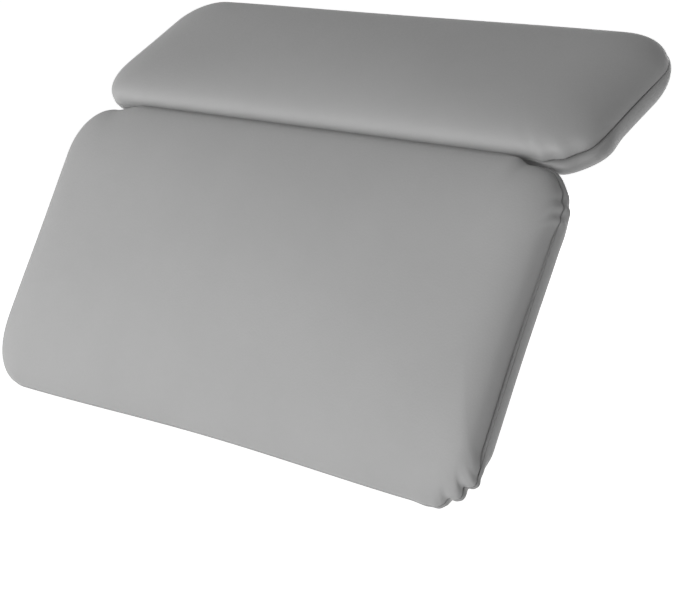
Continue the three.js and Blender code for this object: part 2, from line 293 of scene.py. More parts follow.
@dataclass(frozen=True)
class BondedThread:
    """Bonded polyester sewing thread: dull grey, with its twist showing as fine slanted bands."""

    name: str = "bonded_polyester_thread"
    light: str = "#8C8C8C"
    dark: str = "#6F6F6F"
    twist_mm: float = 0.6
    twist_depth_mm: float = 0.05
    wander: float = 0.4
    roughness: float = 0.7
    sheen: float = 0.15

    def material(self) -> bpy.types.Material:
        """Builds the material."""
        material, tree = fresh_material(self.name)
        place = add_node(tree, "ShaderNodeTexCoord").outputs["Object"]
        scale = 1 / (self.twist_mm * MM) / (2 * math.pi)
        bands = {"Vector": place, "Scale": scale, "Distortion": self.wander}
        twist = add_node(tree, "ShaderNodeTexWave", bands, bands_direction="DIAGONAL").outputs["Fac"]
        greys = {"Factor": twist, "A": linear(self.dark), "B": linear(self.light)}
        colour = add_node(tree, "ShaderNodeMix", greys, data_type="RGBA")
        bump = add_node(tree, "ShaderNodeBump", {"Distance": self.twist_depth_mm * MM, "Height": twist})
        skin = {
            "Base Color": colour.outputs["Result"],
            "Roughness": self.roughness,
            "Sheen Weight": self.sheen,
            "Normal": bump.outputs["Normal"],
        }
        body = add_node(tree, "ShaderNodeBsdfPrincipled", skin)
        add_node(tree, "ShaderNodeOutputMaterial", {"Surface": body.outputs["BSDF"]})
        return material


@dataclass(frozen=True)
class PanelFrame:
    """Place of one cushion: x along the hinge, y up the cushion, z out of its front from its flat back."""

    origin: np.ndarray
    up: np.ndarray
    out: np.ndarray

    def place(self, points: np.ndarray) -> np.ndarray:
        """Moves points from the cushion into the part, in metres.

        Args:
            points: Points in the cushion, millimetres, in the last axis.

        Returns:
            The same points in the part's frame, in metres.
        """
        across = np.array([1.0, 0.0, 0.0])
        return (self.origin + points @ np.array([across, self.up, self.out])) * MM


def leaning(angle: float) -> tuple[np.ndarray, np.ndarray]:
    """Directions up a leaning cushion and out of its front.

    Args:
        angle: Lean from the vertical, in degrees.

    Returns:
        The two unit directions.
    """
    turn = math.radians(angle)
    up = np.array([0.0, math.sin(turn), math.cos(turn)])
    out = np.array([0.0, -math.cos(turn), math.sin(turn)])
    return up, out


def back_middle(side: Side) -> float:
    """Height of the middle of a cushion's flat back, where its cups are centred."""
    return side.value * (BACK_ROLL - HINGE_BACK_ROLL) / 2


LOWER_UP, LOWER_OUT = leaning(LOWER_LEAN)
UPPER_UP, UPPER_OUT = leaning(LOWER_LEAN + FOLD_BACK)
LOWER_ORIGIN = LOWER_OUT * CUP_STAND_OFF - LOWER_UP * back_middle(Side.LOWER)
HINGE = LOWER_ORIGIN + LOWER_UP * (LOWER_HEIGHT / 2 + HINGE_HALF_GAP) + LOWER_OUT * SEAM_HEIGHT
UPPER_ORIGIN = HINGE + UPPER_UP * (HINGE_HALF_GAP + UPPER_HEIGHT / 2) - UPPER_OUT * SEAM_HEIGHT
FRAMES = {
    Side.LOWER: PanelFrame(LOWER_ORIGIN, LOWER_UP, LOWER_OUT),
    Side.UPPER: PanelFrame(UPPER_ORIGIN, UPPER_UP, UPPER_OUT),
}


def mesh_piece(name: str, points: np.ndarray, faces: Faces, material: bpy.types.Material) -> bpy.types.Object:
    """Makes a smooth-shaded mesh object at the origin.

    Args:
        name: Name of the piece.
        points: Its corners in the part's frame, in metres.
        faces: Its faces as lists of corner numbers.
        material: Its finish.

    Returns:
        The new object.
    """
    mesh = bpy.data.meshes.new(name)
    mesh.from_pydata(np.asarray(points).reshape(-1, 3).tolist(), [], faces)
    mesh.validate()
    mesh.polygons.foreach_set("use_smooth", [True] * len(mesh.polygons))
    mesh.materials.append(material)
    piece = bpy.data.objects.new(name, mesh)
    bpy.context.scene.collection.objects.link(piece)
    return piece


def report(piece: bpy.types.Object) -> None:
    """Logs a finished piece."""
    LOG.info("%s: %d corners", piece.name, len(piece.data.vertices))


def subdivide(piece: bpy.types.Object) -> None:
    """Adds a subdivision surface that looks the same in every view."""
    smooth = piece.modifiers.new("subdivision", "SUBSURF")
    smooth.levels = smooth.render_levels = 1


def plain_mesh(piece: bpy.types.Object) -> None:
    """Applies every modifier of a piece to its mesh."""
    graph = bpy.context.evaluated_depsgraph_get()
    made = bpy.data.meshes.new_from_object(piece.evaluated_get(graph))
    old = piece.data
    made.name = old.name
    piece.modifiers.clear()
    piece.data = made
    bpy.data.meshes.remove(old)


def bend(piece: bpy.types.Object) -> None:
    """Bakes a soft piece's place into its mesh, all such pieces alike.

    Args:
        piece: Object whose place is baked.
    """
    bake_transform(piece)


def smooth_between(position: np.ndarray, knots: Knots) -> np.ndarray:
    """Values on a smooth curve through knots, level at each of them.

    Args:
        position: Where the values are wanted.
        knots: Pairs of place and value, in order.

    Returns:
        One value for each place.
    """
    places = np.array([k[0] for k in knots])
    values = np.array([k[1] for k in knots])
    found = np.clip(np.searchsorted(places, position) - 1, 0, len(places) - 2)
    share = np.clip((position - places[found]) / (places[found + 1] - places[found]), 0, 1)
    share = share * share * (3 - 2 * share)
    return values[found] + (values[found + 1] - values[found]) * share


@dataclass(frozen=True)
class Gather:
    """Fullness sewn into the seam round one corner.

    The knots pair a place along the seam, from the middle of the corner and anticlockwise seen from the
    front, with how far the seam stands out there.
    """

    knots: Knots
    front_reach: float = 8.0
    back_reach: float = 7.0
    shoulder: Knots = ((-1.0, 0.0), (1.0, 0.0))  # same for the back below the seam
    back_draw: Knots = ((-1.0, 0.0), (1.0, 0.0))  # same for the edge of the flat back
    open: Knots = ((-1.0, 1.0), (1.0, 1.0))  # share of the groove that shows


def grid_faces(rings: int, count: int, first: int = 0) -> Faces:
    """Four-sided faces between closed rings that follow one another.

    Args:
        rings: How many rings.
        count: Corners of each ring.
        first: Number of the first corner.

    Returns:
        Faces that point outwards when anticlockwise rings go up.
    """
    faces = []
    for ring in range(rings - 1):
        for corner in range(count):
            a = first + ring * count + corner
            b = first + ring * count + (corner + 1) % count
            faces.append((a, b, b + count, a + count))
    return faces


def run_from_first(rings: np.ndarray) -> np.ndarray:
    """How far each corner of a cover's rings is from its first ring, along the cover.

    Args:
        rings: Rings that follow one another.

    Returns:
        One length for each corner of each ring.
    """
    steps = np.linalg.norm(np.diff(rings, axis=0), axis=2)
    return np.concatenate([np.zeros((1, rings.shape[1])), np.cumsum(steps, axis=0)])


@dataclass
class Cushion:
    """One foam cushion in a front and a back cover that meet in a turned seam."""

    side: Side
    height: float
    thickness: float
    end_roll: float  # how far the front's rounding runs in from the two ends
    free_roll: float  # from the side away from the hinge
    hinge_roll: float  # and from the hinge
    front_power: float  # how square that rounding is
    end_power: float  # same at the two ends
    crown_share: float  # share of the front's rise that is a gentle crown over the whole face
    slack: float  # how much thinner the cover is before it swells
    gathers: dict[int, Gather] = field(default_factory=dict)
    short_steps: int = 40
    long_steps: int = 72
    corner_steps: int = 40
    front_steps: int = 44
    back_steps: int = 14
    flat_steps: int = 8
    line_half: float = 2.0  # half the width of the line that a cover closes in
    line_radius: float = 1.5
    crown_radius: float = 12.0
    back_radius: float = 18.0
    back_power: float = 1.8
    draw_in: float = 0.7  # how far a free side pulls in, for each 100 of its length
    side_easing: float = 0.7  # how much closer the steps of a side are near its ends
    # Rings inside the groove of the seam: how far inside it, and how far above or below it
    seam_lip: Knots = ((0.95, 0.04), (0.65, 0.12), (0.3, 0.26), (0.06, 0.52))
    lip_end: float = 0.9
    # How much painted shade the first rings of each cover get, darkest deepest in the groove
    front_shades: tuple[float, ...] = (1.0, 0.9, 0.5, 0.1)
    back_shades: tuple[float, ...] = (1.0, 0.6, 0.2, 0.0)
    back_fullness: float = 0.9  # how far the back cover swells past the seam on the free sides
    back_end_roll: float = BACK_ROLL
    draw_depth: float = 14.0  # how far behind the seam the back is drawn in fully
    hinge_bulge: float = 0.0  # how far the front cover swells past the hinge seam
    bulge_run: float = 7.0  # how far up the cover it swells most
    bulge_ends: tuple[float, float] = (22.0, 8.0)  # how far from the left and right ends it is full

    @property
    def place(self) -> PanelFrame:
        """Where the cushion is in the part."""
        return FRAMES[self.side]

    @property
    def seam(self) -> np.ndarray:
        """Outline of the seam with straight sides, for measuring along it."""
        return self.outline(PANEL_WIDTH / 2, -self.height / 2, self.height / 2, CORNER_RADIUS, 0)

    def outline(self, half_width: float, bottom: float, top: float, radius: float, draw: float) -> np.ndarray:
        """Rounded rectangle whose free sides pull in between their corners.

        Args:
            half_width: Half its width.
            bottom: Its lowest level up the cushion.
            top: Its highest level.
            radius: Corner radius.
            draw: How far a free side pulls in, for each 100 of its length.

        Returns:
            Its corners, anticlockwise, from the right end of the top right corner.
        """
        right = half_width - radius
        high, low = top - radius, bottom + radius
        centres = np.array([[right, high], [-right, high], [-right, low], [right, low]])
        inward = np.array([[0, -1], [1, 0], [0, 1], [-1, 0]])
        hinge = 0 if self.side is Side.LOWER else 2
        turns = np.linspace(0, math.pi / 2, self.corner_steps + 1)
        quarter = np.stack([np.cos(turns), np.sin(turns)], axis=1) * radius
        arcs = []
        for k in range(4):
            cos, sin = (1, 0, -1, 0)[k], (0, 1, 0, -1)[k]
            arcs.append(centres[k] + quarter @ np.array([[cos, sin], [-sin, cos]]))
        rows = []
        for k in range(4):
            rows.append(arcs[k])
            start, end = arcs[k][-1], arcs[(k + 1) % 4][0]
            steps = self.long_steps if k % 2 == 0 else self.short_steps
            even = np.arange(1, steps) / steps
            share = even - self.side_easing * np.sin(2 * math.pi * even) / (2 * math.pi)
            deepest = 0 if k == hinge else draw * np.linalg.norm(end - start) / 100
            pull = deepest * np.sin(math.pi * share) ** 2
            rows.append(start + np.outer(share, end - start) + np.outer(pull, inward[k]))
        return np.concatenate(rows)

    def ring(
        self, core: tuple[float, ...], share: float, inset: float, z: float, end_share: float | None = None
    ) -> np.ndarray:
        """One ring between the seam and the crown or the flat back.

        Args:
            core: Half width, bottom, top and corner radius at the crown or the flat.
            share: Zero at the seam and one at the core.
            inset: How far inside the seam the ring starts.
            z: Height of the ring above the flat back.
            end_share: Same as share at the two ends, if it differs there.

        Returns:
            Its corners in the cushion.
        """
        half = self.height / 2 - inset
        seam = (PANEL_WIDTH / 2 - inset, -half, half, CORNER_RADIUS - inset)
        along = share if end_share is None else end_share
        shares = (along, share, share, (along + share) / 2)
        sizes = [a + (b - a) * part for a, b, part in zip(seam, core, shares)]
        flat = self.outline(*sizes, self.draw_in * (1 - share))
        return np.column_stack([flat, np.full(len(flat), z)])

    def between(self, free_roll: float, hinge_roll: float) -> tuple[float, float]:
        """Bottom and top of a flat or crown, between the rolls on the free side and the hinge side."""
        half = self.height / 2
        if self.side is Side.LOWER:
            return -half + free_roll, half - hinge_roll
        return -half + hinge_roll, half - free_roll

    def closing_rings(self, outer: np.ndarray, reach: float) -> list[np.ndarray]:
        """Rings that run from a ring to a short line in its middle.

        Args:
            outer: Ring that they start from.
            reach: Half the length of that line.

        Returns:
            The rings inside the outer one.
        """
        middle = (outer[:, 1].min() + outer[:, 1].max()) / 2
        half = self.line_half
        line = self.outline(reach + half, middle - half, middle + half, self.line_radius, 0)
        inner = np.column_stack([line, outer[:, 2]])
        shares = np.linspace(0, 1, self.flat_steps + 1)[1:]
        return [outer + (inner - outer) * share for share in shares]

    def front_rings(self) -> np.ndarray:
        """Rings of the front cover, from inside the seam out to its lip and up over the crown."""
        bottom, top = self.between(self.free_roll, self.hinge_roll)
        core = (PANEL_WIDTH / 2 - self.end_roll, bottom, top, self.crown_radius)
        rings = [self.ring(core, 0, inset, SEAM_HEIGHT + rise) for inset, rise in self.seam_lip]
        power = 2 / self.front_power
        rise = self.thickness - SEAM_HEIGHT
        roll = rise * (1 - self.crown_share)
        for turn in np.linspace(0, math.pi / 2, self.front_steps + 1)[1:]:
            z = SEAM_HEIGHT + roll * math.sin(turn) ** power
            flat = max(1 - math.sin(turn) ** (power * self.end_power), 0) ** (1 / self.end_power)
            if z > SEAM_HEIGHT + self.lip_end:
                rings.append(self.ring(core, 1 - max(math.cos(turn), 0) ** power, 0, z, 1 - flat))
        rings += self.closing_rings(rings[-1], core[0] - (top - bottom) / 2)
        made = np.array(rings)
        across = 1 - (made[:, :, 0] / (PANEL_WIDTH / 2)) ** 2
        along = 1 - (made[:, :, 1] / (self.height / 2)) ** 2
        made[:, :, 2] += rise * self.crown_share * np.clip(across, 0, 1) * np.clip(along, 0, 1)
        return made

    def back_rings(self) -> np.ndarray:
        """Rings of the back cover, from inside the seam out to its lip and down over the flat back."""
        bottom, top = self.between(BACK_ROLL, HINGE_BACK_ROLL)
        core = (PANEL_WIDTH / 2 - self.back_end_roll, bottom, top, self.back_radius)
        rings = [self.ring(core, 0, inset, SEAM_HEIGHT - drop) for inset, drop in self.seam_lip]
        power = 2 / self.back_power
        for turn in np.linspace(0, math.pi / 2, self.back_steps + 1)[1:]:
            z = SEAM_HEIGHT * (1 - math.sin(turn) ** power)
            if z < SEAM_HEIGHT - self.lip_end:
                rings.append(self.ring(core, 1 - max(math.cos(turn), 0) ** power, 0, z))
        return np.array(rings + self.closing_rings(rings[-1], core[0] - (top - bottom) / 2))

    def outward(self) -> np.ndarray:
        """Direction out of the seam, in the plane of the cushion, at each corner of a ring."""
        rows = []
        for k in range(4):
            turns = (k + np.linspace(0, 1, self.corner_steps + 1)) * math.pi / 2
            rows.append(np.stack([np.cos(turns), np.sin(turns)], axis=1))
            steps = self.long_steps if k % 2 == 0 else self.short_steps
            rows.append(np.repeat(rows[-1][-1:], steps - 1, axis=0))
        flat = np.concatenate(rows)
        return np.column_stack([flat, np.zeros(len(flat))])

    def along_seam(self, corner: int) -> np.ndarray:
        """Place of each corner of a ring along the seam, from the middle of one of its rounded corners."""
        seam = self.seam
        steps = np.linalg.norm(np.diff(np.vstack([seam, seam[:1]]), axis=0), axis=1)
        run = np.concatenate([[0], np.cumsum(steps)])
        sides = (self.long_steps, self.short_steps)
        first = sum(self.corner_steps + sides[k % 2] for k in range(corner))
        here = run[:-1] - run[first + self.corner_steps // 2]
        return (here + run[-1] / 2) % run[-1] - run[-1] / 2

    def gathered(self, rings: np.ndarray, front: bool) -> np.ndarray:
        """Pushes the cover out and in where fullness is sewn into the seam.

        Args:
            rings: Rings of a cover, from its seam on.
            front: Whether it is the front cover.

        Returns:
            The moved rings.
        """
        run = run_from_first(rings)
        run = np.maximum(run - run[len(self.seam_lip) - 1], 0)
        out = self.outward()
        moved = rings.copy()
        swell = self.free_sides() * self.back_fullness
        drawn = np.zeros(rings.shape[1])
        closed = 1 - self.openness()
        for ring, (inset, _) in enumerate(self.seam_lip):
            moved[ring] += (closed * inset)[:, None] * out
        for corner, gather in self.gathers.items():
            here = self.along_seam(corner)
            stand = smooth_between(here, gather.knots)
            reach, sharp = (gather.front_reach, FRONT_FADE) if front else (gather.back_reach, BACK_FADE)
            fade = np.exp(-((run / reach) ** sharp))
            moved += (fade * stand)[:, :, None] * out[None]
            swell = swell + smooth_between(here, gather.shoulder)
            drawn = drawn + smooth_between(here, gather.back_draw)
        if front:
            rounding = run / self.bulge_run * np.exp(1 - run / self.bulge_run)
            moved += (rounding * self.hinge_side() * self.hinge_bulge)[:, :, None] * out[None]
        else:
            drop = np.sqrt(np.clip((SEAM_HEIGHT - rings[:, :, 2]) / SEAM_HEIGHT, 0, 1))
            moved += (4 * drop * (1 - drop) * swell)[:, :, None] * out[None]
            depth = np.clip((SEAM_HEIGHT - rings[:, :, 2]) / self.draw_depth, 0, 1)
            depth[-self.flat_steps :] *= np.linspace(1, 0, self.flat_steps)[:, None]
            moved += (np.sin(math.pi / 2 * depth) ** 2 * drawn)[:, :, None] * out[None]
        return moved

    def openness(self) -> np.ndarray:
        """Share of the groove that shows at each corner of a ring, less where the sheets are drawn in."""
        share = 1.0
        for corner, gather in self.gathers.items():
            share = share * smooth_between(self.along_seam(corner), gather.open)
        return np.broadcast_to(share, len(self.outward()))

    def free_sides(self) -> np.ndarray:
        """One on the sides away from the hinge and zero beside it, at each corner of a ring."""
        from_hinge = self.height / 2 - self.side.value * self.seam[:, 1]
        return smooth_between(from_hinge, ((0.0, 0.0), (CORNER_RADIUS, 1.0)))

    def hinge_side(self) -> np.ndarray:
        """One along the hinge seam, falling to zero before its ends, at each corner of a ring."""
        seam = self.seam
        straight = PANEL_WIDTH / 2 - CORNER_RADIUS
        left, right = self.bulge_ends
        knots = ((-straight, 0.0), (left - straight, 1.0), (straight - right, 1.0), (straight, 0.0))
        return smooth_between(seam[:, 0], knots) * (seam[:, 1] * self.side.value > 0)

    def seam_path(self, inset: float) -> np.ndarray:
        """Line inside the seam, in the part, in metres.

        Args:
            inset: How deep it runs in the groove.

        Returns:
            Points of the closed line.
        """
        core = (PANEL_WIDTH / 2, -self.height / 2, self.height / 2, CORNER_RADIUS)
        line = self.ring(core, 0, inset, SEAM_HEIGHT)
        for corner, gather in self.gathers.items():
            stand = smooth_between(self.along_seam(corner), gather.knots)
            line = line + stand[:, None] * self.outward()
        return self.place.place(line)

    def caps(self, ring: int, count: int) -> Faces:
        """Faces that close a ring, facing the front.

        Args:
            ring: Number of the ring.
            count: Corners of each ring.

        Returns:
            Faces that join the upper half of the ring to its lower half.
        """
        turn = self.corner_steps + self.short_steps
        half = turn + self.corner_steps + self.long_steps
        start = self.short_steps // 2
        upper = [(k - start) % count for k in range(half + 1)]
        lower = [(-start - k) % count for k in range(half + 1)]
        faces = []
        for k in range(half):
            corners = (lower[k], upper[k], upper[k + 1], lower[k + 1])
            faces.append(tuple(dict.fromkeys(ring * count + c for c in corners)))
        return faces

    def closed_faces(self, rings: np.ndarray, front: bool) -> Faces:
        """Faces of a cover with its filling, as a closed form.

        Args:
            rings: Rings of the cover.
            front: Whether it is the front cover.

        Returns:
            Faces that point outwards.
        """
        count = rings.shape[1]
        inner = [face[::-1] for face in self.caps(0, count)]
        faces = inner + grid_faces(len(rings), count) + self.caps(len(rings) - 1, count)
        return faces if front else [face[::-1] for face in faces]

    def cover(self, name: str, front: bool, material: bpy.types.Material) -> bpy.types.Object:
        """Makes one cover with its filling as a closed form.

        Args:
            name: Name of the piece.
            front: Whether it is the front cover.
            material: Its finish.

        Returns:
            The new piece, still without subdivision.
        """
        if front:
            rings = Inflation().swollen(self)
        else:
            rings = self.gathered(self.front_rings() if front else self.back_rings(), front)
        piece = mesh_piece(name, self.place.place(rings), self.closed_faces(rings, front), material)
        # Painted shade along the seam, strongest on the rings deepest in the groove and less where it is
        # closed
        shades = np.zeros(rings.shape[:2])
        groove = self.front_shades if front else self.back_shades
        shades[: len(groove)] = np.outer(groove, self.openness())
        piece.data.attributes.new(PAINTED_SHADE_ATTRIBUTE, "FLOAT", "POINT").data.foreach_set("value", shades.ravel())
        return piece

    def build(self, front_skin: bpy.types.Material, back_skin: bpy.types.Material, cups: "CupSet") -> None:
        """Builds both covers and puts them in place of the plain solids.

        Args:
            front_skin: Finish of the front cover.
            back_skin: Finish of the back cover.
            cups: Suction cups that are set into the back.
        """
        label = self.side.label
        front = self.cover(f"{label}_front_cushion", True, front_skin)
        back = self.cover(f"{label}_back_cushion", False, back_skin)
        cups.cut_pockets(back, back_skin)
        for piece, slot, nodes in (
            (front, "front_vinyl", (f"{label}_front_cover", f"{label}_foam_core")),
            (back, "back_vinyl", (f"{label}_back_cover",)),
        ):
            subdivide(piece)
            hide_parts(*nodes)
            bend(piece)
            report(piece)


@dataclass
class Inflation:
    """Cloth simulation that lets the foam swell a front cover, which its seam holds all round.

    A coarse copy, a little slack, is simulated with its seam held. How far its points rise is then
    carried over to the fine cover as a smooth surface, because foam behind the sheet keeps it taut, and
    the seam and the folds at its corners keep their detail.
    """

    cap: float = 3.0  # how far a point may move
    held_run: float = 7.0  # how far from the seam the cloth is held
    pressure: float = 4.0
    frames: int = 20
    quality: int = 8
    stiffness: float = 15.0
    bending: float = 60.0  # foam behind the sheet keeps it from creasing
    waves: int = 3  # highest power of the smooth surface that the swell is carried over with
    mass: float = 0.25

    def moves(self, shape: Cushion) -> tuple[np.ndarray, np.ndarray]:
        """How far each point of a coarse cover moves, in millimetres.

        Args:
            shape: The coarse, slack cushion.

        Returns:
            The points of its rings and one move for each.
        """
        rings = shape.gathered(shape.front_rings(), True)
        skin = bpy.data.materials.new("settling_cloth")
        piece = mesh_piece("settling_cloth", rings * MM, shape.closed_faces(rings, True), skin)
        held = np.flatnonzero(run_from_first(rings).ravel() < self.held_run).tolist()
        piece.vertex_groups.new(name="seam").add(held, 1.0, "REPLACE")
        cloth = piece.modifiers.new("cloth", "CLOTH")
        values = cloth.settings
        values.quality = self.quality
        values.mass = self.mass
        values.vertex_group_mass = "seam"
        values.tension_stiffness = self.stiffness
        values.compression_stiffness = self.stiffness
        values.shear_stiffness = self.stiffness
        values.bending_stiffness = self.bending
        values.use_pressure = True
        values.uniform_pressure_force = self.pressure
        values.effector_weights.gravity = 0
        cloth.point_cache.frame_start = 1
        cloth.point_cache.frame_end = self.frames
        scene = bpy.context.scene
        for step in range(1, self.frames + 1):
            scene.frame_set(step)
        settled = piece.evaluated_get(bpy.context.evaluated_depsgraph_get()).to_mesh()
        ends = np.empty(len(settled.vertices) * 3)
        settled.vertices.foreach_get("co", ends)
        moved = ends.reshape(rings.shape) / MM - rings
        scene.frame_set(1)
        mesh = piece.data
        bpy.data.objects.remove(piece)
        bpy.data.meshes.remove(mesh)
        bpy.data.materials.remove(skin)
        length = np.linalg.norm(moved, axis=2, keepdims=True)
        return rings, moved * np.minimum(1, self.cap / np.maximum(length, 1e-9))

    def surfaces(self, cushion: Cushion, rings: np.ndarray) -> np.ndarray:
        """Smooth surfaces over a cover, all zero at its seam, that a swell is made up of.

        Args:
            cushion: The cushion.
            rings: Points of the cover.

        Returns:
            Their heights, with one row for each point.
        """
        across = np.clip(rings[:, :, 0].ravel() / (PANEL_WIDTH / 2), -1, 1)
        along = np.clip(rings[:, :, 1].ravel() / (cushion.height / 2), -1, 1)
        columns = np.polynomial.legendre.legvander2d(across, along, [self.waves, self.waves])
        return columns * ((1 - across**2) * (1 - along**2))[:, None]

    def swollen(self, cushion: Cushion) -> np.ndarray:
        """Rings of the fine front cover after the simulation.

        Args:
            cushion: The cushion, at its full thickness.

        Returns:
            The rings, in the cushion.
        """
        fine = replace(cushion, thickness=cushion.thickness - cushion.slack)
        coarse = replace(fine, short_steps=20, long_steps=40, corner_steps=8, front_steps=22, flat_steps=6)
        start, moved = self.moves(coarse)
        shares = np.linalg.lstsq(self.surfaces(coarse, start), moved[:, :, 2].ravel(), rcond=None)[0]
        rings = fine.gathered(fine.front_rings(), True)
        swell = (self.surfaces(fine, rings) @ shares).reshape(rings.shape[:2])
        rings[:, :, 2] += swell
        LOG.info("%s cover swells by %.1f mm in its middle", cushion.side.label, swell[-1].mean())
        return rings


@dataclass
class HingeStrip:
    """Vinyl strip sewn into the facing seams of both cushions."""

    half_length: float = 160.0
    wall: float = 1.0
    tuck: float = 1.5
    # Distance from its ends, with how far its middle stands out in front of the seams there
    rises: Knots = ((0.0, -9.0), (8.0, -8.0), (20.0, 6.0))
    long_steps: int = 100
    cross_steps: int = 10

    def section(self, rise: float) -> np.ndarray:
        """Closed section of the strip across the fold.

        Args:
            rise: How far its middle stands out in front of the seams.

        Returns:
            Points of the section, at the middle of the hinge.
        """
        out = LOWER_OUT + UPPER_OUT
        out /= np.linalg.norm(out)
        start = HINGE - LOWER_UP * (HINGE_HALF_GAP + self.tuck)
        end = HINGE + UPPER_UP * (HINGE_HALF_GAP + self.tuck)
        share = np.linspace(0, 1, self.cross_steps + 1)[:, None]
        line = (1 - share) ** 2 * start + 2 * share * (1 - share) * (HINGE + out * rise) + share**2 * end
        run = np.gradient(line, axis=0)
        run /= np.linalg.norm(run, axis=1)[:, None]
        normal = np.cross(np.array([1.0, 0.0, 0.0]), run)
        return np.concatenate([line + normal * self.wall / 2, (line - normal * self.wall / 2)[::-1]])

    def build(self, skin: bpy.types.Material) -> None:
        """Builds the strip across the fold.

        Args:
            skin: Its finish.
        """
        places = np.linspace(-self.half_length, self.half_length, self.long_steps + 1)
        rises = smooth_between(self.half_length - np.abs(places), self.rises)
        points = np.array([self.section(rise) + np.array([x, 0, 0]) for x, rise in zip(places, rises)])
        count = points.shape[1]
        faces = grid_faces(len(points), count)
        last = (len(points) - 1) * count
        width = self.cross_steps + 1
        for k in range(width - 1):
            quad = (k, k + 1, count - 2 - k, count - 1 - k)
            faces.append(quad[::-1])
            faces.append(tuple(last + c for c in quad))
        piece = mesh_piece("hinge_strip", points * MM, faces, skin)
        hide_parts("lower_hinge_flap", "upper_hinge_flap")
        bend(piece)
        report(piece)


def rounded(corners: tuple[tuple[float, float, float], ...], steps: int = 4) -> np.ndarray:
    """Profile with its corners rounded off.

    Args:
        corners: Radius from the axis, height and rounding of each corner.
        steps: Points on each rounding, less one.

    Returns:
        Points of the profile.
    """
    flat = np.array([c[:2] for c in corners])
    points = [flat[:1]]
    for k in range(1, len(flat) - 1):
        back, ahead = flat[k - 1] - flat[k], flat[k + 1] - flat[k]
        shorter = min(np.linalg.norm(back), np.linalg.norm(ahead))
        reach = min(corners[k][2], EDGE_SHARE * shorter)
        if reach == 0:
            points.append(flat[k : k + 1])
            continue
        start = flat[k] + back / np.linalg.norm(back) * reach
        end = flat[k] + ahead / np.linalg.norm(ahead) * reach
        share = np.linspace(0, 1, steps + 1)[:, None]
        points.append((1 - share) ** 2 * start + 2 * share * (1 - share) * flat[k] + share**2 * end)
    points.append(flat[-1:])
    return np.concatenate(points)


def turned(profile: np.ndarray, steps: int, closed: bool) -> tuple[np.ndarray, Faces]:
    """Turns a profile round the axis of a cup.

    Args:
        profile: Radius and height of each point, clockwise with the axis on the left.
        steps: Points of each turn.
        closed: Whether it is a closed loop, and not a line that starts and ends on the axis.

    Returns:
        Corners and faces of the closed form.
    """
    rows = profile if closed else profile[1:-1]
    turns = np.arange(steps) * 2 * math.pi / steps
    circle = np.stack([np.cos(turns), np.sin(turns)], axis=1)
    rings = np.concatenate([np.column_stack([circle * r, np.full(steps, z)]) for r, z in rows])
    faces = []
    for ring in range(len(rows) if closed else len(rows) - 1):
        below = (ring + 1) % len(rows)
        for k in range(steps):
            n = (k + 1) % steps
            faces.append((ring * steps + k, below * steps + k, below * steps + n, ring * steps + n))
    if closed:
        return rings, faces
    top, foot = len(rings), len(rings) + 1
    last = (len(rows) - 1) * steps
    for k in range(steps):
        n = (k + 1) % steps
        faces.append((top, k, n))
        faces.append((foot, last + n, last + k))
    ends = np.array([[0, 0, profile[0][1]], [0, 0, profile[-1][1]]])
    return np.concatenate([rings, ends]), faces


def boolean(piece: bpy.types.Object, tool: bpy.types.Object, operation: str) -> None:
    """Joins or cuts one closed mesh with another, which is used up.

    Args:
        piece: Object that is changed.
        tool: Object that is joined to it or cut from it.
        operation: Blender's word for it.
    """
    change = piece.modifiers.new("boolean", "BOOLEAN")
    change.object = tool
    change.operation = operation
    change.solver = "EXACT"
    plain_mesh(piece)
    mesh = tool.data
    bpy.data.objects.remove(tool)
    bpy.data.meshes.remove(mesh)


